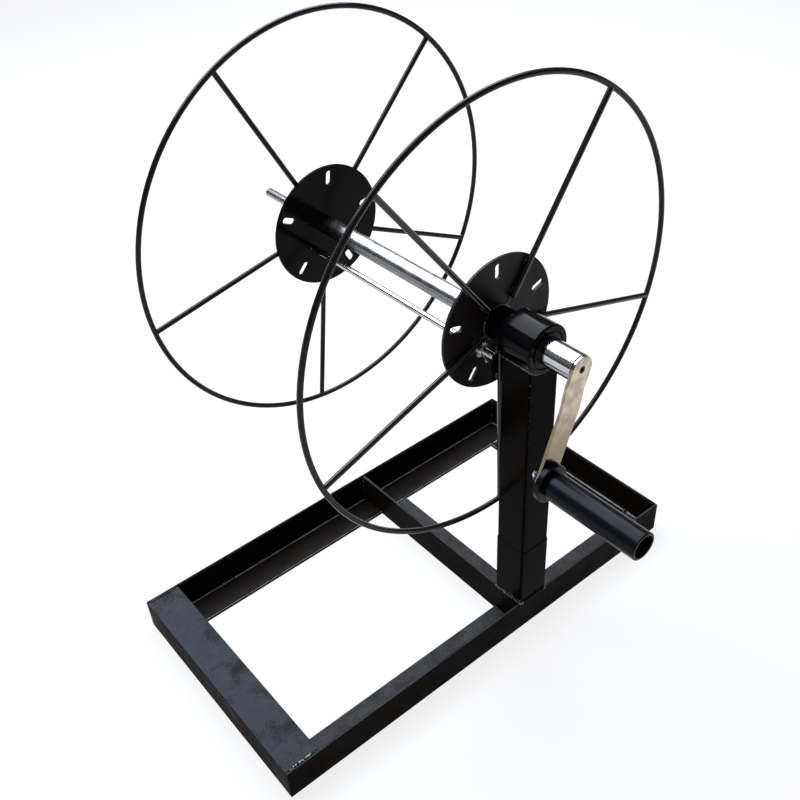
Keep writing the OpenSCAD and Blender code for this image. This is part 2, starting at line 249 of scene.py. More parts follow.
def black_enamel(finishes, name, pigment, dull, shine, dust):
    """Sprayed black enamel on mild steel; dull is its roughness and dust the share of the film on faces that
    look up.
    """
    # Orange peel breaks reflections softly, dull clouds show handling, and a grey film on the upper sides,
    # partly dust and partly painted sheen, lightens them.
    material, tree = new_material(name)
    place = add(tree, "ShaderNodeTexCoord")
    peel = add(tree, "ShaderNodeTexNoise", {"Vector": (place, "Object"), "Scale": per(2.2), "Detail": 2.0})
    cloud = add(tree, "ShaderNodeTexNoise", {"Vector": (place, "Object"), "Scale": per(26), "Detail": 5.0})
    gloss = add(tree, "ShaderNodeMapRange", {
        "Value": (cloud, "Fac"), "From Min": 0.35, "From Max": 0.68, "To Min": dull, "To Max": 1.5 * dull})
    # Faces that look up get the grey film of dust and painted sheen.
    up = add(tree, "ShaderNodeSeparateXYZ", {"Vector": (place, "Normal")})
    top = add(tree, "ShaderNodeMapRange", {
        "Value": (up, "Z"), "From Min": 0.7, "From Max": 0.98, "To Min": 0.0, "To Max": dust})
    grains = add(tree, "ShaderNodeTexNoise", {
        "Vector": (place, "Object"), "Scale": per(3), "Detail": 8.0, "Roughness": 0.75})
    patches = add(tree, "ShaderNodeMapRange", {
        "Value": (grains, "Fac"), "From Min": 0.32, "From Max": 0.66, "To Min": 0.45, "To Max": 1.0})
    drift = add(tree, "ShaderNodeMapRange", {
        "Value": (cloud, "Fac"), "From Min": 0.38, "From Max": 0.6, "To Min": 0.5, "To Max": 1.0})
    mottle = add(tree, "ShaderNodeMath", {
        0: (patches, "Result"), 1: (drift, "Result")}, operation="MULTIPLY")
    film = add(tree, "ShaderNodeMath", {0: (top, "Result"), 1: (mottle, "Value")}, operation="MULTIPLY")
    colour = add(tree, "ShaderNodeMix", {
        "Factor": (film, "Value"), "A": pigment, "B": finishes.dust}, data_type="RGBA")
    bump = add(tree, "ShaderNodeBump", {"Height": (peel, "Fac"), "Strength": 0.06, "Distance": 0.2 * MM})
    shader = add(tree, "ShaderNodeBsdfPrincipled", {
        "Base Color": (colour, "Result"), "Roughness": (gloss, "Result"), "IOR": 1.5,
        "Specular IOR Level": shine, "Normal": (bump, "Normal")})
    return surfaced(material, shader)


def highlight_line_enamel(finishes):
    """Rounds of the back and right-hand bars with a painted highlight: the enamel mixed with light grey in
    broken patches.
    """
    # The light grey is a painted highlight that shines a little, so each of these bars shows a thin broken
    # light line along its length.
    material, tree = new_material("painted_highlight_edge")
    place = add(tree, "ShaderNodeTexCoord")
    breaks = add(tree, "ShaderNodeTexNoise", {"Vector": (place, "Object"), "Scale": per(9), "Detail": 6.0})
    share = add(tree, "ShaderNodeMapRange", {
        "Value": (breaks, "Fac"), "From Min": 0.38, "From Max": 0.6, "To Min": 0.3, "To Max": 0.95})
    colour = add(tree, "ShaderNodeMix", {
        "Factor": (share, "Result"), "A": finishes.enamel, "B": finishes.highlight_grey}, data_type="RGBA")
    shader = add(tree, "ShaderNodeBsdfPrincipled", {
        "Base Color": (colour, "Result"), "Roughness": 0.3, "IOR": 1.5, "Specular IOR Level": 0.3})
    return surfaced(material, shader)


def scuffed_step_and_sheen_enamel(finishes):
    """The same enamel where shoes stand on it: dull blue-grey on top, partly wear and partly a painted sheen,
    with dark stains and scratches.
    """
    # Soles leave a grey haze and fine scratches along the bar, and the haze on top is also a painted sheen;
    # oil leaves dark blots with grainy borders.
    material, tree = new_material("scuffed_step_and_sheen_enamel")
    place = add(tree, "ShaderNodeTexCoord")
    haze = add(tree, "ShaderNodeTexNoise", {
        "Vector": (place, "Object"), "Scale": per(30), "Detail": 6.0, "Roughness": 0.6})
    drawn = add(tree, "ShaderNodeMapping", {"Vector": (place, "Object"), "Scale": (1.0, 0.1, 1.0)})
    scratch = add(tree, "ShaderNodeTexNoise", {
        "Vector": (drawn, "Vector"), "Scale": per(1.4), "Detail": 4.0, "Roughness": 0.7})
    blots = add(tree, "ShaderNodeTexNoise", {
        "Vector": (place, "Object"), "Scale": per(30), "Detail": 5.0, "Roughness": 0.6, "Distortion": 0.25})
    grit = add(tree, "ShaderNodeTexNoise", {
        "Vector": (place, "Object"), "Scale": per(1.3), "Detail": 4.0, "Roughness": 0.65})
    # Painted sheen and scuff haze: the grey goes on faces that look up.
    up = add(tree, "ShaderNodeSeparateXYZ", {"Vector": (place, "Normal")})
    top = add(tree, "ShaderNodeMapRange", {
        "Value": (up, "Z"), "From Min": 0.7, "From Max": 0.97, "To Min": 0.0, "To Max": 1.0})
    haze_and_sheen = add(tree, "ShaderNodeMapRange", {
        "Value": (haze, "Fac"), "From Min": 0.34, "From Max": 0.66, "To Min": 0.74, "To Max": 1.0})
    line = add(tree, "ShaderNodeMapRange", {
        "Value": (scratch, "Fac"), "From Min": 0.58, "From Max": 0.74, "To Min": 0.0, "To Max": 0.25})
    scuffs = add(tree, "ShaderNodeMath", {0: (haze_and_sheen, "Result"), 1: (line, "Result")}, operation="ADD")
    ragged = add(tree, "ShaderNodeMath", {
        0: (grit, "Fac"), 1: 0.6, 2: (blots, "Fac")}, operation="MULTIPLY_ADD")
    stain = add(tree, "ShaderNodeMapRange", {
        "Value": (ragged, "Value"), "From Min": 0.76, "From Max": 0.95, "To Min": 1.0, "To Max": 0.25})
    marked = add(tree, "ShaderNodeMath", {
        0: (scuffs, "Value"), 1: (stain, "Result")}, operation="MULTIPLY")
    film = add(tree, "ShaderNodeMath", {
        0: (marked, "Value"), 1: (top, "Result")}, operation="MULTIPLY", use_clamp=True)
    colour = add(tree, "ShaderNodeMix", {
        "Factor": (film, "Value"), "A": finishes.enamel, "B": finishes.step}, data_type="RGBA")
    gloss = add(tree, "ShaderNodeMapRange", {
        "Value": (stain, "Result"), "From Min": 0.25, "From Max": 1.0, "To Min": 0.4, "To Max": 0.56})
    bump = add(tree, "ShaderNodeBump", {"Height": (scratch, "Fac"), "Strength": 0.2, "Distance": 0.2 * MM})
    shader = add(tree, "ShaderNodeBsdfPrincipled", {
        "Base Color": (colour, "Result"), "Roughness": (gloss, "Result"), "IOR": 1.5,
        "Specular IOR Level": BAR_SHINE, "Normal": (bump, "Normal")})
    return surfaced(material, shader)


def arc_weld(finishes, name, bare_from, dull, shine):
    """Arc weld beads under the enamel, bare where the noise is above bare_from; dull is their roughness."""
    # The ripples glint, and specks of bare metal show where paint didn't hold.
    material, tree = new_material(name)
    place = add(tree, "ShaderNodeTexCoord")
    speck = add(tree, "ShaderNodeTexNoise", {"Vector": (place, "Object"), "Scale": per(2.4), "Detail": 4.0})
    bare = add(tree, "ShaderNodeMapRange", {
        "Value": (speck, "Fac"), "From Min": bare_from, "From Max": bare_from + 0.05,
        "To Min": 0.0, "To Max": 0.6})
    colour = add(tree, "ShaderNodeMix", {
        "Factor": (bare, "Result"), "A": finishes.enamel, "B": finishes.steel}, data_type="RGBA")
    bump = add(tree, "ShaderNodeBump", {"Height": (speck, "Fac"), "Strength": 0.4, "Distance": 0.3 * MM})
    shader = add(tree, "ShaderNodeBsdfPrincipled", {
        "Base Color": (colour, "Result"), "Metallic": (bare, "Result"), "Roughness": dull, "IOR": 1.5,
        "Specular IOR Level": shine, "Normal": (bump, "Normal")})
    return surfaced(material, shader)


def chrome_plate(finishes, name, dull, underside_shade, unshaded_from):
    """Chrome plate on drawn tube; dull is its roughness.
    A painted shade on the underside keeps the underside_shade share of its colour.
    The plate is unshaded where the upward part of its normal is unshaded_from or more."""
    # Nearly a mirror, hazed along its length by the drawing lines of the tube, with a painted grey shade on
    # its underside.
    fade = 0.65
    material, tree = new_material(name)
    place = add(tree, "ShaderNodeTexCoord")
    haze = add(tree, "ShaderNodeTexNoise", {"Vector": (place, "Object"), "Scale": per(12), "Detail": 5.0})
    drawn = add(tree, "ShaderNodeMapping", {"Vector": (place, "Object"), "Scale": (1.0, 0.02, 1.0)})
    lines = add(tree, "ShaderNodeTexNoise", {"Vector": (drawn, "Vector"), "Scale": per(0.8), "Detail": 2.0})
    gloss = add(tree, "ShaderNodeMapRange", {
        "Value": (haze, "Fac"), **NOISE_SPAN, "To Min": dull, "To Max": 1.6 * dull})
    bump = add(tree, "ShaderNodeBump", {"Height": (lines, "Fac"), "Strength": 0.04, "Distance": 0.1 * MM})
    up = add(tree, "ShaderNodeSeparateXYZ", {"Vector": (place, "Normal")})
    # Painted shade: the colour darkens towards the underside.
    shade_ramp = add(tree, "ShaderNodeMapRange", {
        "Value": (up, "Z"), "From Min": unshaded_from - fade, "From Max": unshaded_from,
        "To Min": underside_shade, "To Max": 1.0})
    colour = add(tree, "ShaderNodeMix", {
        "Factor": 1.0, "A": finishes.chrome, "B": (shade_ramp, "Result")}, **TINT)
    shader = add(tree, "ShaderNodeBsdfPrincipled", {
        "Base Color": (colour, "Result"), "Metallic": 1.0, "Roughness": (gloss, "Result"),
        "Normal": (bump, "Normal")})
    return surfaced(material, shader)


def polished_stainless(finishes):
    """Flat stainless bar, belt polished along its length."""
    # Fine lines along the arm stretch its reflections.
    # Near the hub it has light clouds of painted highlight, and it is warm and dull towards the grip.
    hub = centre("crank_hub")
    grip = centre("grip")
    lean = math.atan2(grip.x - hub.x, hub.z - grip.z)
    material, tree = new_material("belt_polished_stainless")
    place = add(tree, "ShaderNodeTexCoord")
    along = add(tree, "ShaderNodeMapping", {
        "Vector": (place, "Object"), "Rotation": (0.0, lean, 0.0), "Scale": (1.0, 1.0, 0.03)})
    lines = add(tree, "ShaderNodeTexNoise", {
        "Vector": (along, "Vector"), "Scale": per(0.7), "Detail": 3.0, "Roughness": 0.6})
    marks = add(tree, "ShaderNodeTexNoise", {"Vector": (place, "Object"), "Scale": per(9), "Detail": 6.0})
    gloss = add(tree, "ShaderNodeMapRange", {
        "Value": (marks, "Fac"), **NOISE_SPAN, "To Min": 0.14, "To Max": 0.26})
    dark = add(tree, "ShaderNodeMapRange", {
        "Value": (lines, "Fac"), **NOISE_SPAN, "To Min": 0.9, "To Max": 1.05})
    # The light clouds of wiped are a painted highlight; they show near the hub.
    wiped = add(tree, "ShaderNodeMapRange", {
        "Value": (marks, "Fac"), "From Min": 0.42, "From Max": 0.6, "To Min": 0.88, "To Max": 1.35})
    up = add(tree, "ShaderNodeSeparateXYZ", {"Vector": (place, "Object")})
    bright = add(tree, "ShaderNodeMapRange", {
        "Value": (up, "Z"), "From Min": grip.z + 0.3 * (hub.z - grip.z),
        "From Max": grip.z + 0.8 * (hub.z - grip.z), "To Min": 0.0, "To Max": 1.0})
    cloudy = add(tree, "ShaderNodeMix", {
        "Factor": 1.0, "A": finishes.arm, "B": (wiped, "Result")}, **TINT)
    tone = add(tree, "ShaderNodeMix", {
        "Factor": (bright, "Result"), "A": finishes.grip_end_tone, "B": (cloudy, "Result")}, data_type="RGBA")
    colour = add(tree, "ShaderNodeMix", {
        "Factor": 1.0, "A": (tone, "Result"), "B": (dark, "Result")}, **TINT)
    bump = add(tree, "ShaderNodeBump", {"Height": (lines, "Fac"), "Strength": 0.06, "Distance": 0.1 * MM})
    shader = add(tree, "ShaderNodeBsdfPrincipled", {
        "Base Color": (colour, "Result"), "Metallic": 1.0, "Roughness": (gloss, "Result"),
        "Normal": (bump, "Normal")})
    return surfaced(material, shader)


def drawn_steel(finishes):
    """Cold drawn steel bar, left bare."""
    # Satin grey with drawing lines along the axis and a few dark stains.
    material, tree = new_material("cold_drawn_steel")
    place = add(tree, "ShaderNodeTexCoord")
    drawn = add(tree, "ShaderNodeMapping", {"Vector": (place, "Object"), "Scale": (1.0, 0.04, 1.0)})
    lines = add(tree, "ShaderNodeTexNoise", {"Vector": (drawn, "Vector"), "Scale": per(0.8), "Detail": 3.0})
    stain = add(tree, "ShaderNodeTexNoise", {"Vector": (place, "Object"), "Scale": per(6), "Detail": 5.0})
    shade = add(tree, "ShaderNodeMapRange", {
        "Value": (stain, "Fac"), "From Min": 0.3, "From Max": 0.65, "To Min": 0.72, "To Max": 1.0})
    colour = add(tree, "ShaderNodeMix", {
        "Factor": 1.0, "A": finishes.steel, "B": (shade, "Result")}, **TINT)
    bump = add(tree, "ShaderNodeBump", {"Height": (lines, "Fac"), "Strength": 0.1, "Distance": 0.1 * MM})
    shader = add(tree, "ShaderNodeBsdfPrincipled", {
        "Base Color": (colour, "Result"), "Metallic": 1.0, "Roughness": 0.28, "Normal": (bump, "Normal")})
    return surfaced(material, shader)


def fastener_metal(name, tone, cloud_mm, dull, shade):
    """Plated or blacked steel of the fasteners, with clouds of this size.
    dull and shade are the roughness and the share of the tone at both ends of the clouds."""
    # Bright zinc is slightly milky, in cloudy patches.
    # Black oxide is brown-black, with a low oily shine that varies a little.
    material, tree = new_material(name)
    place = add(tree, "ShaderNodeTexCoord")
    cloud = add(tree, "ShaderNodeTexNoise", {
        "Vector": (place, "Object"), "Scale": per(cloud_mm), "Detail": 4.0})
    gloss = add(tree, "ShaderNodeMapRange", {
        "Value": (cloud, "Fac"), **NOISE_SPAN, "To Min": dull[0], "To Max": dull[1]})
    light = add(tree, "ShaderNodeMapRange", {
        "Value": (cloud, "Fac"), **NOISE_SPAN, "To Min": shade[0], "To Max": shade[1]})
    colour = add(tree, "ShaderNodeMix", {"Factor": 1.0, "A": tone, "B": (light, "Result")}, **TINT)
    shader = add(tree, "ShaderNodeBsdfPrincipled", {
        "Base Color": (colour, "Result"), "Metallic": 1.0, "Roughness": (gloss, "Result")})
    return surfaced(material, shader)


def turned_nylon(finishes):
    """Black nylon, turned to size."""
    # Waxy dark plastic with a faintly uneven, tool-marked face.
    material, tree = new_material("turned_black_nylon")
    place = add(tree, "ShaderNodeTexCoord")
    marks = add(tree, "ShaderNodeTexNoise", {"Vector": (place, "Object"), "Scale": per(1), "Detail": 2.0})
    gloss = add(tree, "ShaderNodeMapRange", {
        "Value": (marks, "Fac"), **NOISE_SPAN, "To Min": 0.4, "To Max": 0.55})
    bump = add(tree, "ShaderNodeBump", {"Height": (marks, "Fac"), "Strength": 0.1, "Distance": 0.1 * MM})
    shader = add(tree, "ShaderNodeBsdfPrincipled", {
        "Base Color": finishes.nylon, "Roughness": (gloss, "Result"), "IOR": 1.53,
        "Specular IOR Level": 0.15, "Normal": (bump, "Normal")})
    return surfaced(material, shader)


def moulded_grip_plastic(finishes):
    """Satin black plastic, moulded with a fine spark-eroded grain."""
    # A broad soft highlight with a little grain, and palm shine that comes and goes.
    material, tree = new_material("moulded_satin_plastic")
    place = add(tree, "ShaderNodeTexCoord")
    # The grain is drawn coarser than the real 0.1 mm so that it shows.
    grain = add(tree, "ShaderNodeTexNoise", {"Vector": (place, "Object"), "Scale": per(0.6), "Detail": 2.0})
    palm = add(tree, "ShaderNodeTexNoise", {"Vector": (place, "Object"), "Scale": per(14), "Detail": 4.0})
    gloss = add(tree, "ShaderNodeMapRange", {
        "Value": (palm, "Fac"), **NOISE_SPAN, "To Min": 0.26, "To Max": 0.34})
    bump = add(tree, "ShaderNodeBump", {"Height": (grain, "Fac"), "Strength": 0.06, "Distance": 0.1 * MM})
    shader = add(tree, "ShaderNodeBsdfPrincipled", {
        "Base Color": finishes.grip, "Roughness": (gloss, "Result"), "IOR": 1.52,
        "Specular IOR Level": 0.11, "Normal": (bump, "Normal")})
    return surfaced(material, shader)


def matt_floor_paper(stage):
    """Pale seamless paper under the reel."""
    # Plain and matt; white is added where it is seen or mirrored, and the shadow stays on top of that.
    material, tree = new_material("matt_floor_paper")
    rays = add(tree, "ShaderNodeLightPath")
    seen = add(tree, "ShaderNodeMath", {
        0: (rays, "Is Camera Ray"), 1: (rays, "Is Glossy Ray")}, operation="MAXIMUM")
    seen_through = add(tree, "ShaderNodeMath", {
        0: (seen, "Value"), 1: (rays, "Is Transmission Ray")}, operation="MAXIMUM")
    level = add(tree, "ShaderNodeMath", {
        0: (seen_through, "Value"), 1: stage.floor_glow}, operation="MULTIPLY")
    white = add(tree, "ShaderNodeEmission", {"Color": (1.0, 1.0, 1.0), "Strength": (level, "Value")})
    paper = add(tree, "ShaderNodeBsdfDiffuse", {"Color": stage.floor_colour})
    both = add(tree, "ShaderNodeAddShader", {0: (white, "Emission"), 1: (paper, "BSDF")})
    return surfaced(material, both, "Shader")


MATERIALS = {}


def material_of(finish):
    """The material of a finish, made on first use."""
    finishes = bpy.context.scene.reel_finishes
    # A recipe is the function that makes the material, and what it takes.
    recipes = {
        "gloss": (black_enamel, finishes, "gloss_black_enamel", finishes.gloss, 0.09, GLOSS_SHINE, 0.0),
        "rod": (black_enamel, finishes, "dipped_black_enamel", finishes.rod, 0.16, ROD_SHINE, 0.0),
        "sleek_rod": (black_enamel, finishes, "polished_black_enamel", finishes.rod, 0.08, SLEEK_SHINE, 0.0),
        "satin": (black_enamel, finishes, "satin_black_enamel", finishes.plate, 0.34, PLATE_SHINE, 0.0),
        "dusty": (black_enamel, finishes, "dusty_black_enamel", finishes.enamel, 0.36, BAR_SHINE, 1.0),
        "wiped": (black_enamel, finishes, "wiped_black_enamel", finishes.enamel, 0.13, BAR_SHINE, 0.1),
        "step": (scuffed_step_and_sheen_enamel, finishes),
        "highlight_grey": (highlight_line_enamel, finishes),
        "weld": (arc_weld, finishes, "painted_arc_weld", 0.57, 0.2, SLEEK_SHINE),
        "bare_weld": (arc_weld, finishes, "brushed_arc_weld", 0.52, 0.45, GLOSS_SHINE),
        "chrome": (chrome_plate, finishes, "bright_chrome_plate", 0.1, 0.34, 0.35),
        "satin_chrome": (chrome_plate, finishes, "satin_chrome_plate", 0.2, 0.25, 0.8),
        "arm": (polished_stainless, finishes),
        "steel": (drawn_steel, finishes),
        "zinc": (fastener_metal, "bright_zinc_plate", finishes.zinc, 4, (0.18, 0.34), (1.0, 0.86)),
        "oxide": (fastener_metal, "oiled_black_oxide", finishes.oxide, 2, (0.32, 0.5), (0.7, 1.0)),
        "nylon": (turned_nylon, finishes),
        "grip": (moulded_grip_plastic, finishes),
    }
    if finish not in MATERIALS:
        make, *details = recipes[finish]
        MATERIALS[finish] = make(*details)
    return MATERIALS[finish]


# Modelling


def choose(piece):
    """Makes this the only selected object, and the active one."""
    bpy.ops.object.select_all(action="DESELECT")
    piece.select_set(True)
    bpy.context.view_layer.objects.active = piece


def join(pieces):
    """Joins the pieces into the first of them, and gives it back."""
    choose(pieces[0])
    for piece in pieces[1:]:
        piece.select_set(True)
    bpy.ops.object.join()
    return pieces[0]


def modify(piece, kind, **settings):
    """Adds a modifier with its settings to the active piece and applies it."""
    modifier = piece.modifiers.new(kind.lower(), kind)
    for name, value in settings.items():
        setattr(modifier, name, value)
    bpy.ops.object.modifier_apply(modifier=modifier.name)


def face_outwards():
    """Points all faces of the mesh in edit mode outwards, and leaves edit mode."""
    bpy.ops.mesh.select_all(action="SELECT")
    bpy.ops.mesh.normals_make_consistent(inside=False)
    bpy.ops.object.mode_set(mode="OBJECT")


def dress(piece, finish):
    """Gives a piece the material of its finish."""
    piece.data.materials.clear()
    piece.data.materials.append(material_of(finish))


def dress_nodes(finish, *nodes):
    """Gives CAD nodes the material of a finish."""
    for node in nodes:
        dress(NODES[node], finish)


def settle(piece, body, finish):
    """Gives a finished piece its material and its body."""
    dress(piece, finish)
    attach(piece, body)


def rounded(node, body, finish, edge):
    """Stands for a CAD node with a merged copy whose sharp edges are rounded."""
    piece = bpy.data.objects.new(node + "_rounded", NODES[node].data.copy())
    bpy.context.scene.collection.objects.link(piece)
    choose(piece)
    bpy.ops.mesh.customdata_custom_splitnormals_clear()
    bpy.ops.object.mode_set(mode="EDIT")
    bpy.ops.mesh.select_all(action="SELECT")
    bpy.ops.mesh.remove_doubles(threshold=0.001 * MM)
    bpy.ops.mesh.dissolve_limited(angle_limit=math.radians(0.5))
    bpy.ops.object.mode_set(mode="OBJECT")
    modify(
        piece, "BEVEL", width=edge, segments=3, limit_method="ANGLE", angle_limit=SHARP_ANGLE,
        miter_outer="MITER_ARC")
    bpy.ops.object.shade_smooth_by_angle(angle=math.radians(32))
    modify(piece, "WEIGHTED_NORMAL", keep_sharp=True)
    settle(piece, body, finish)
    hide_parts(node)
    return piece


def ripple(radius):
    """One ripple of a weld: a lens across the bead, modelled at the origin."""
    bpy.ops.object.select_all(action="DESELECT")
    bpy.ops.mesh.primitive_uv_sphere_add(segments=14, ring_count=8, radius=radius)
    piece = bpy.context.active_object
    bpy.ops.object.mode_set(mode="EDIT")
    bpy.ops.mesh.select_all(action="SELECT")
    bpy.ops.transform.resize(value=RIPPLE_FORM)
    bpy.ops.object.mode_set(mode="OBJECT")
    return piece


def bead(name, seams, width, body, finish, seed):
    """Lays weld ripples along each seam and melts them into one mesh.
    A seam is its points and the direction in which the bead bulges."""
    chance = random.Random(seed)
    master = ripple(width / 2)
    copies = []
    for points, out in seams:
        for here, ahead in zip(points, points[1:]):
            run = ahead - here
            along = run.normalized()
            up = (out - along * out.dot(along)).normalized()
            side = up.cross(along)
            turn = Matrix((along, side, up)).transposed().to_4x4()
            steps = max(1, round(run.length / (RIPPLE_STEP * width)))
            for i in range(steps):
                size = chance.uniform(*RIPPLE_SIZES)
                drift = side * chance.uniform(-RIPPLE_DRIFT, RIPPLE_DRIFT) * width
                spot = here + run * ((i + 0.5) / steps) + drift - up * RIPPLE_SINK * width
                copy = bpy.data.objects.new("ripple", master.data.copy())
                copy.data.transform(Matrix.Translation(spot) @ turn @ Matrix.Scale(size, 4))
                bpy.context.scene.collection.objects.link(copy)
                copies.append(copy)
    bpy.data.objects.remove(master)
    piece = join(copies)
    piece.name = name
    modify(piece, "REMESH", mode="VOXEL", voxel_size=width / MELT_CELLS)
    modify(piece, "SMOOTH", factor=0.5, iterations=3)
    bpy.ops.object.shade_smooth()
    settle(piece, body, finish)


def turned_bar(name, start, steps):
    """A round bar along +Y, as turned on a lathe; each step is a run and its end radius."""
    bpy.ops.object.select_all(action="DESELECT")
    radius = steps[0][1]
    bpy.ops.mesh.primitive_circle_add(
        vertices=40, radius=radius, fill_type="NGON", rotation=(math.pi / 2, 0, 0), location=start)
    piece = bpy.context.active_object
    piece.name = name
    bpy.ops.object.transform_apply(location=True, rotation=True, scale=True)
    bpy.ops.object.mode_set(mode="EDIT")
    bpy.ops.mesh.select_all(action="SELECT")
    place = start.copy()
    for run, wanted in steps[1:]:
        place.y += run
        bpy.ops.mesh.extrude_region_move(TRANSFORM_OT_translate={"value": (0, run, 0)})
        ratio = wanted / radius
        bpy.ops.transform.resize(value=(ratio, 1, ratio), center_override=place)
        radius = wanted
    face_outwards()
    return piece


def swept(section, pitch, turns):
    """A closed section of radius and height points turned about Z, climbing by the pitch in each turn."""
    steps = 28
    bpy.ops.object.select_all(action="DESELECT")
    bpy.ops.mesh.primitive_circle_add(vertices=len(section), radius=1, fill_type="NOTHING")
    piece = bpy.context.active_object
    for corner, (radius, rise) in zip(piece.data.vertices, section):
        corner.co = (radius, 0, rise)
    modify(
        piece, "SCREW", axis="Z", angle=math.tau, screw_offset=pitch, iterations=turns,
        steps=steps, render_steps=steps)
    return piece


def thread_ridge(start, length, root, crest, pitch):
    """The ridge of a screw thread along +Y: a triangle swept along a helix and closed at both ends."""
    sunk = root - 0.1 * MM
    turns = max(1, int(length / pitch) - 1)
    piece = swept([(crest, pitch / 2), (sunk, 0.04 * pitch), (sunk, 0.96 * pitch)], pitch, turns)
    bpy.ops.object.mode_set(mode="EDIT")
    bpy.ops.mesh.select_all(action="DESELECT")
    bpy.ops.mesh.select_mode(type="EDGE")
    bpy.ops.mesh.select_non_manifold()
    bpy.ops.mesh.edge_face_add()
    face_outwards()
    piece.data.transform(Matrix.Translation(start) @ Matrix.Rotation(-math.pi / 2, 4, "X"))
    return piece


def nut_wing(seat, out, reach, rise):
    """One wing of a wing nut: a round tip drawn back to the hub, extruded to its thickness and rounded."""
    tip = 1.9 * MM
    thick = 1.6 * MM
    soft = 0.3 * MM
    narrow = 0.7
    far = Vector((reach - tip, rise, 0))
    root = Vector((5 * MM, 1.2 * MM, 0))
    bpy.ops.object.select_all(action="DESELECT")
    bpy.ops.mesh.primitive_circle_add(vertices=24, radius=tip, fill_type="NGON", location=far)
    piece = bpy.context.active_object
    bpy.ops.object.transform_apply(location=True, rotation=True, scale=True)
    bpy.ops.object.mode_set(mode="EDIT")
    bpy.ops.mesh.select_mode(type="VERT")
    bpy.ops.mesh.select_all(action="DESELECT")
    bpy.ops.object.mode_set(mode="OBJECT")
    for corner in piece.data.vertices:
        corner.select = (corner.co - far).dot(root - far) > 0
    bpy.ops.object.mode_set(mode="EDIT")
    bpy.ops.transform.translate(value=root - far)
    bpy.ops.transform.resize(value=(narrow, narrow, 1), center_override=root)
    bpy.ops.mesh.select_all(action="SELECT")
    bpy.ops.mesh.extrude_region_move(TRANSFORM_OT_translate={"value": (0, 0, thick)})
    face_outwards()
    modify(piece, "BEVEL", width=soft, segments=3, limit_method="ANGLE", angle_limit=SHARP_ANGLE)
    forward = Vector((0, -1, 0))
    turn = Matrix((out, forward, out.cross(forward))).transposed().to_4x4()
    piece.data.transform(Matrix.Translation(seat) @ turn @ Matrix.Translation((0, 0, -thick / 2)))
    return piece


def wing_nut(name, seat, bore, height, sizes):
    """A wing nut that faces -Y on its seat: a turned hub with two wings that lean out from it."""
    foot = bore + 1.8 * MM
    top = bore + 1.3 * MM
    soft = 0.3 * MM
    hub = swept([
        (bore, 0), (foot - soft, 0), (foot, soft),
        (top, height - soft), (top - soft, height), (bore, height),
    ], 0, 1)
    bpy.ops.object.mode_set(mode="EDIT")
    face_outwards()
    hub.data.transform(Matrix.Translation(seat) @ Matrix.Rotation(math.pi / 2, 4, "X"))
    out = Vector((math.cos(sizes.wing_turn), 0, math.sin(sizes.wing_turn)))
    wings = [nut_wing(seat, way, sizes.wing_reach, sizes.wing_rise) for way in (out, -out)]
    nut = join([hub, *wings])
    bpy.ops.object.shade_smooth_by_angle(angle=math.radians(35))
    nut.name = name
    return nut


# Operators


class REEL_OT_base(bpy.types.Operator):
    """Dresses the angle bars of the base and its foot plate"""

    bl_idname = "reel.base"
    bl_label = "Base bars"

    def execute(self, context):
        edge = context.scene.reel_sizes.bar_edge
        least, most = NEARLY_LEVEL
        for node in ("front_rail", "cross_rail"):
            rounded(node, "stand", "dusty", edge)
        for node in ("back_rail", "right_rail"):
            rail = rounded(node, "stand", "wiped", edge)
            rail.data.materials.append(material_of("highlight_grey"))
            middle = centre(node).z
            # The low rounds whose faces are nearly level, as in the inside corner, get the grey painted
            # highlight.
            for face in rail.data.polygons:
                if face.center.z <= middle and least < face.normal.z < most:
                    face.material_index = 1
        rounded("foot_plate", "stand", "step", edge)
        return {"FINISHED"}


class REEL_OT_post(bpy.types.Operator):
    """Dresses the post, its socket and the bearing head on top"""

    bl_idname = "reel.post"
    bl_label = "Post and bearing"

    def execute(self, context):
        edge = context.scene.reel_sizes.bar_edge
        for node in ("post_socket", "post"):
            rounded(node, "stand", "wiped", edge)
        rounded("bearing_housing", "stand", "gloss", edge)
        dress_nodes("nylon", "front_bush", "rear_bush")
        return {"FINISHED"}


class REEL_OT_core(bpy.types.Operator):
    """Dresses the core tube, the spindle and what sits on them"""

    bl_idname = "reel.core"
    bl_label = "Core and spindle"

    def execute(self, context):
        edge = context.scene.reel_sizes.plate_edge
        dress_nodes("satin_chrome", "core_tube")
        dress_nodes("steel", "spindle_rod", "front_plug", "rear_plug")
        dress_nodes("nylon", "front_thrust_washer", "rear_thrust_washer")
        for node in ("front_boss", "back_boss"):
            rounded(node, "reel", "gloss", edge)
        dress_nodes("oxide", "front_grub_screw", "back_grub_screw")
        return {"FINISHED"}


class REEL_OT_wheels(bpy.types.Operator):
    """Dresses the hub plates, rims and spokes"""

    bl_idname = "reel.wheels"
    bl_label = "Wheels"

    def execute(self, context):
        edge = context.scene.reel_sizes.plate_edge
        rounded("front_plate", "reel", "satin", edge)
        rounded("back_plate", "reel", "gloss", edge)
        dress_nodes("rod", "front_rim", "back_rim", *BACK_SPOKES)
        dress_nodes("sleek_rod", *FRONT_SPOKES)
        return {"FINISHED"}


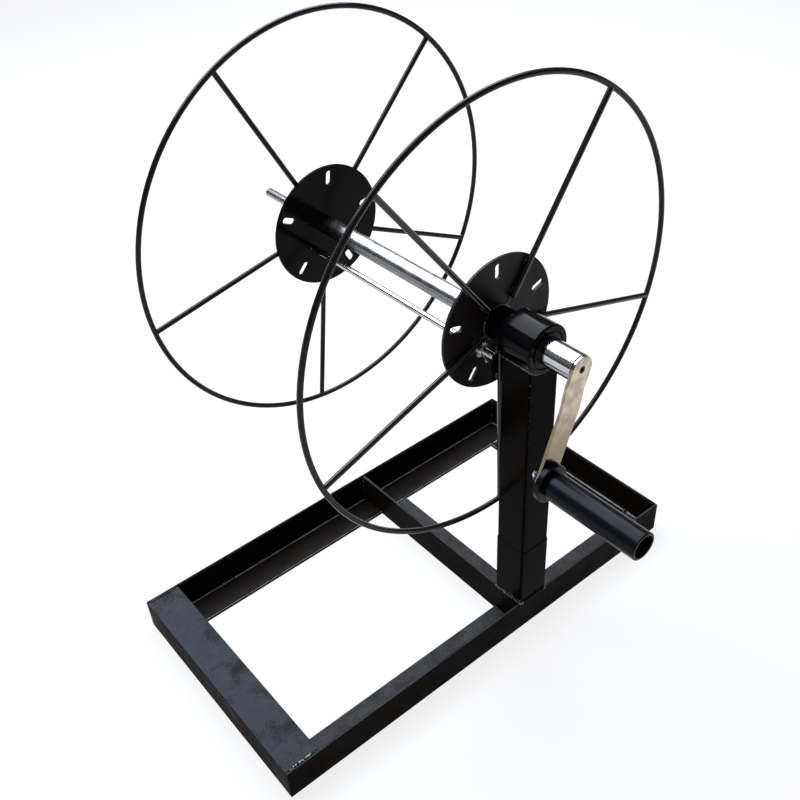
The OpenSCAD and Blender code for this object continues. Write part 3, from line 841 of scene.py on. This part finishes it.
class REEL_OT_tie_rod(bpy.types.Operator):
    """Dresses the tie rod with its nuts and washers"""

    bl_idname = "reel.tie_rod"
    bl_label = "Tie rod"

    def execute(self, context):
        sizes = context.scene.reel_sizes
        pitch = sizes.thread_pitch
        low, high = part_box("tie_rod")
        middle = centre("tie_rod")
        full = half_width("tie_rod")
        root = full - 0.6 * pitch
        tip = 0.8 * MM
        shoulder = 0.2 * MM
        front_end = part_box("front_plate")[1].y - low.y
        back_end = high.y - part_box("back_plate")[0].y
        shank = high.y - low.y - front_end - back_end - 2 * shoulder
        start = Vector((middle.x, low.y, middle.z))
        rod = turned_bar("tie_rod_threaded", start, [
            (0, root - tip / 2), (tip, root), (front_end - tip, root), (shoulder, full),
            (shank, full), (shoulder, root), (back_end - tip, root), (tip, root - tip / 2)])
        back_start = Vector((middle.x, high.y - back_end, middle.z))
        join([
            rod,
            thread_ridge(start + Vector((0, tip / 2, 0)), front_end, root, full, pitch),
            thread_ridge(back_start, back_end - tip / 2, root, full, pitch)])
        bpy.ops.object.shade_smooth_by_angle(angle=math.radians(35))
        settle(rod, "reel", "chrome")
        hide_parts("tie_rod")
        dress_nodes("zinc", "tie_washer_front", "tie_washer_back")
        dress_nodes("oxide", "tie_nut_back")
        nut_low, nut_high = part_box("tie_nut_front")
        seat = Vector((middle.x, nut_high.y, middle.z))
        nut = wing_nut("tie_wing_nut", seat, full, nut_high.y - nut_low.y, sizes)
        settle(nut, "reel", "zinc")
        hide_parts("tie_nut_front")
        return {"FINISHED"}


class REEL_OT_crank(bpy.types.Operator):
    """Dresses the crank hub, arm, grip and their screws"""

    bl_idname = "reel.crank"
    bl_label = "Crank"

    def execute(self, context):
        sizes = context.scene.reel_sizes
        rounded("crank_hub", "reel", "chrome", sizes.plate_edge)
        rounded("crank_arm", "reel", "arm", sizes.arm_edge)
        dress_nodes("oxide", "crank_screw", "grip_bolt", "grip_washer")
        dress_nodes("chrome", "grip_nut")
        dress_nodes("grip", "grip")
        return {"FINISHED"}


class REEL_OT_stand_welds(bpy.types.Operator):
    """Lays the weld beads of the stand"""

    bl_idname = "reel.stand_welds"
    bl_label = "Stand welds"

    def execute(self, context):
        width = context.scene.reel_sizes.weld_width
        low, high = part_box("post_socket")
        foot = low.z + 0.5 * width
        left_back = Vector((low.x, high.y, foot))
        left_front = Vector((low.x, low.y, foot))
        right_front = Vector((high.x, low.y, foot))
        outward = Vector((0, -1, 0.3))
        tack = Vector((0.8 * width, 0, 0))
        bead("post_foot_weld", [
            ([left_back, left_front], Vector((-1, 0, 0.3))),
            ([left_front, left_front + tack], outward),
            ([right_front - tack, right_front], outward),
        ], 1.3 * width, "stand", "weld", 3)
        bead("post_front_weld", [([left_front, right_front], outward)],
             width, "stand", "wiped", 31)
        bead("housing_weld", self.housing_seams(), 0.8 * width, "stand", "weld", 5)
        bead("rail_welds", self.rail_seams(), width, "stand", "weld", 7)
        front_seam, back_seam = self.foot_plate_seams()
        bead("step_front_weld", [front_seam], 0.7 * width, "stand", "bare_weld", 11)
        bead("step_back_weld", [back_seam], 0.8 * width, "stand", "step", 29)
        bead("weld_spatter", self.spatter(), 1.3 * MM, "stand", "weld", 13)
        return {"FINISHED"}

    def housing_seams(self):
        """Where the round housing sits in the coped top of the post."""
        low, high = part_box("post")
        hub = centre("bearing_housing")
        radius = half_width("bearing_housing")
        drop = math.sqrt(radius ** 2 - high.x ** 2)
        back = min(high.y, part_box("bearing_housing")[1].y)
        z = hub.z - drop
        seams = []
        for x in (low.x, high.x):
            seams.append(([Vector((x, low.y, z)), Vector((x, back, z))], Vector((x, 0, -0.2 * abs(x)))))
        spread = math.acos(drop / radius)
        arc = []
        for i in range(9):
            turn = spread * (i / 4 - 1)
            arc.append(Vector((radius * math.sin(turn), low.y, hub.z - radius * math.cos(turn))))
        seams.append((arc, Vector((0, -1, -0.3))))
        return seams

    def rail_seams(self):
        """Inside corners where the cross bars meet the long rails."""
        front_low, front_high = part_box("front_rail")
        back_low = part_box("back_rail")[0]
        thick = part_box("cross_rail")[0].y - front_low.y
        floor = front_low.z + thick
        below_top = 2 * MM
        above_floor = 3 * MM
        cross_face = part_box("cross_rail")[0].x
        right_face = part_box("right_rail")[1].x - thick
        seams = []
        for node, x in (("cross_rail", cross_face), ("right_rail", right_face)):
            low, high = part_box(node)
            for y, way in ((low.y, 1), (high.y, -1)):
                top = Vector((x, y, front_high.z - below_top))
                bottom = Vector((x, y, floor + above_floor))
                seams.append(([top, bottom], Vector((-1, way, 0))))
            for y in (front_high.y, back_low.y):
                seams.append((
                    [Vector((low.x + thick, y, floor)), Vector((high.x - thick, y, floor))],
                    Vector((0, 0, 1))))
        return seams

    def foot_plate_seams(self):
        """Both ends of the foot plate's flat top, where it meets the upright legs of the rails."""
        low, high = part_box("foot_plate")
        inset = 3 * MM
        return [
            ([Vector((low.x + inset, y, high.z)), Vector((high.x - inset, y, high.z))], Vector((0, 0, 1)))
            for y in (low.y, high.y)]

    def spatter(self):
        """Drops of weld metal that stuck to the post's front left edge."""
        low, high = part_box("post")
        chance = random.Random(17)
        drops = []
        for _ in range(16):
            z = low.z + (high.z - low.z) * chance.uniform(0.42, 0.97)
            spot = Vector((low.x + chance.uniform(0.3, 2.5) * MM, low.y, z))
            drops.append(([spot, spot + Vector((0, 0, 0.4 * MM))], Vector((0, -1, 0))))
        return drops


class REEL_OT_wheel_welds(bpy.types.Operator):
    """Lays the weld spots of both wheels"""

    bl_idname = "reel.wheel_welds"
    bl_label = "Wheel welds"

    def execute(self, context):
        width = context.scene.reel_sizes.rod_weld_width
        for side, spokes, way, seed in (("front", FRONT_SPOKES, -1, 19), ("back", BACK_SPOKES, 1, 23)):
            low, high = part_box(f"{side}_plate")
            face = low.y if way < 0 else high.y
            seams = []
            for spoke in spokes:
                seams += self.spoke_seams(side, spoke, face, way)
            seams.append(self.boss_seam(side, face, way))
            bead(f"{side}_wheel_welds", seams, width, "reel", "weld", seed)
        return {"FINISHED"}

    def spoke_seams(self, side, spoke, face, way):
        """A spot on the rim, short runs beside the rod on the plate, and a spot at its inner end."""
        axle = centre(f"{side}_rim")
        low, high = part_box(f"{side}_rim")
        rod = high.y - low.y
        rim = half_width(f"{side}_rim") - rod
        plate = half_width(f"{side}_plate")
        boss = half_width(f"{side}_boss")
        middle = centre(spoke)
        out = Vector((middle.x - axle.x, 0, middle.z - axle.z)).normalized()
        across = Vector((-out.z, 0, out.x))
        up = Vector((0, way, 0))
        inner = min((Vector(corner.co) - axle).dot(out) for corner in NODES[spoke].data.vertices)
        on_rim = axle + out * rim
        seams = [([on_rim - across * 0.6 * rod, on_rim + across * 0.6 * rod], -out)]
        on_plate = Vector((axle.x, face, axle.z))
        for turn in (-1, 1):
            beside = on_plate + across * turn * 0.42 * rod
            for near, far in ((plate - 9 * MM, plate - 1 * MM), (inner, inner + 8 * MM)):
                seams.append(([beside + out * near, beside + out * far], up + across * turn))
        tip = on_plate + out * inner
        seams.append(([tip - across * 0.4 * rod, tip + across * 0.4 * rod], up - out))
        seams.append(([tip, on_plate + out * boss], up))
        return seams

    def boss_seam(self, side, face, way):
        """The fillet round the foot of the boss."""
        hub = centre(f"{side}_boss")
        radius = half_width(f"{side}_boss") + 0.3 * MM
        sides = 24
        ring = []
        for i in range(sides + 1):
            turn = math.tau * i / sides
            ring.append(Vector((hub.x + radius * math.cos(turn), face, hub.z + radius * math.sin(turn))))
        return (ring, Vector((0, way, 0)))


class REEL_OT_stage(bpy.types.Operator):
    """Sets the floor, the light and the camera"""

    bl_idname = "reel.stage"
    bl_label = "Stage"

    def execute(self, context):
        scene = context.scene
        floor = self.lay_floor(scene.reel_stage)
        softbox = self.hang_softbox(scene)
        self.light_room(scene)
        camera = self.stand_camera(scene)
        scene.view_settings.view_transform = "Standard"
        return {"FINISHED"}

    def lay_floor(self, stage):
        """A wide pale floor under the base."""
        bpy.ops.object.select_all(action="DESELECT")
        bpy.ops.mesh.primitive_plane_add(size=stage.floor_size)
        floor = bpy.context.active_object
        floor.name = "floor"
        floor.data.materials.append(matt_floor_paper(stage))
        return floor

    def hang_softbox(self, scene):
        """One wide lamp above and behind the reel, shining straight down."""
        stage = scene.reel_stage
        lamp = bpy.data.lights.new("softbox", "AREA")
        lamp.shape = "RECTANGLE"
        lamp.size = stage.box_size[0]
        lamp.size_y = stage.box_size[1]
        lamp.energy = stage.box_power
        lamp.color = stage.box_colour
        softbox = bpy.data.objects.new("softbox", lamp)
        scene.collection.objects.link(softbox)
        softbox.location = stage.box_place
        return softbox

    def light_room(self, scene):
        """A dim room that grows lighter towards its ceiling."""
        stage = scene.reel_stage
        world = bpy.data.worlds.new("dim_room")
        scene.world = world
        world.use_nodes = True
        tree = world.node_tree
        tree.nodes.clear()
        place = add(tree, "ShaderNodeTexCoord")
        up = add(tree, "ShaderNodeSeparateXYZ", {"Vector": (place, "Generated")})
        height = add(tree, "ShaderNodeMapRange", {
            "Value": (up, "Z"), "From Min": 0.05, "From Max": 0.5, "To Min": 0.3, "To Max": 1.3})
        level = add(tree, "ShaderNodeMath", {
            0: (height, "Result"), 1: stage.room}, operation="MULTIPLY")
        walls = add(tree, "ShaderNodeBackground", {
            "Color": stage.room_colour, "Strength": (level, "Value")})
        add(tree, "ShaderNodeOutputWorld", {"Surface": (walls, "Background")})

    def stand_camera(self, scene):
        """The camera at the place from which the photograph was taken."""
        stage = scene.reel_stage
        eye = bpy.data.cameras.new("photo_camera")
        eye.sensor_width = 36
        eye.lens = stage.camera_lens
        eye.shift_x = stage.camera_shift[0]
        eye.shift_y = stage.camera_shift[1]
        camera = bpy.data.objects.new("photo_camera", eye)
        scene.collection.objects.link(camera)
        turn = Matrix.Rotation(-stage.camera_heading, 4, "Z")
        tilt = Matrix.Rotation(math.pi / 2 + stage.camera_tilt, 4, "X")
        roll = Matrix.Rotation(stage.camera_roll, 4, "Z")
        camera.matrix_world = Matrix.Translation(stage.camera_place) @ turn @ tilt @ roll
        scene.camera = camera
        return camera


class REEL_PT_panel(bpy.types.Panel):
    """Lists the steps and settings of the hose reel"""

    bl_idname = "REEL_PT_panel"
    bl_label = "Hose reel"
    bl_space_type = "VIEW_3D"
    bl_region_type = "UI"
    bl_category = "Hose reel"

    def draw(self, context):
        for step in STEPS:
            self.layout.operator(step.bl_idname)
        for group in (context.scene.reel_finishes, context.scene.reel_sizes, context.scene.reel_stage):
            for name in group.__annotations__:
                self.layout.prop(group, name)


GROUPS = (ReelFinishes, ReelSizes, ReelStage)
STEPS = (
    REEL_OT_base, REEL_OT_post, REEL_OT_core, REEL_OT_wheels, REEL_OT_tie_rod, REEL_OT_crank,
    REEL_OT_stand_welds, REEL_OT_wheel_welds, REEL_OT_stage)


def register():
    """Registers the settings, operators and panel."""
    for kind in (*GROUPS, *STEPS, REEL_PT_panel):
        bpy.utils.register_class(kind)
    bpy.types.Scene.reel_finishes = bpy.props.PointerProperty(type=ReelFinishes)
    bpy.types.Scene.reel_sizes = bpy.props.PointerProperty(type=ReelSizes)
    bpy.types.Scene.reel_stage = bpy.props.PointerProperty(type=ReelStage)


def unregister():
    """Takes the settings, operators and panel out again."""
    del bpy.types.Scene.reel_stage
    del bpy.types.Scene.reel_sizes
    del bpy.types.Scene.reel_finishes
    for kind in reversed((*GROUPS, *STEPS, REEL_PT_panel)):
        bpy.utils.unregister_class(kind)


def main():
    """Builds the dressed reel."""
    register()
    bpy.ops.reel.base()
    bpy.ops.reel.post()
    bpy.ops.reel.core()
    bpy.ops.reel.wheels()
    bpy.ops.reel.tie_rod()
    bpy.ops.reel.crank()
    bpy.ops.reel.stand_welds()
    bpy.ops.reel.wheel_welds()
    bpy.ops.reel.stage()


if __name__ == "__main__":
    main()
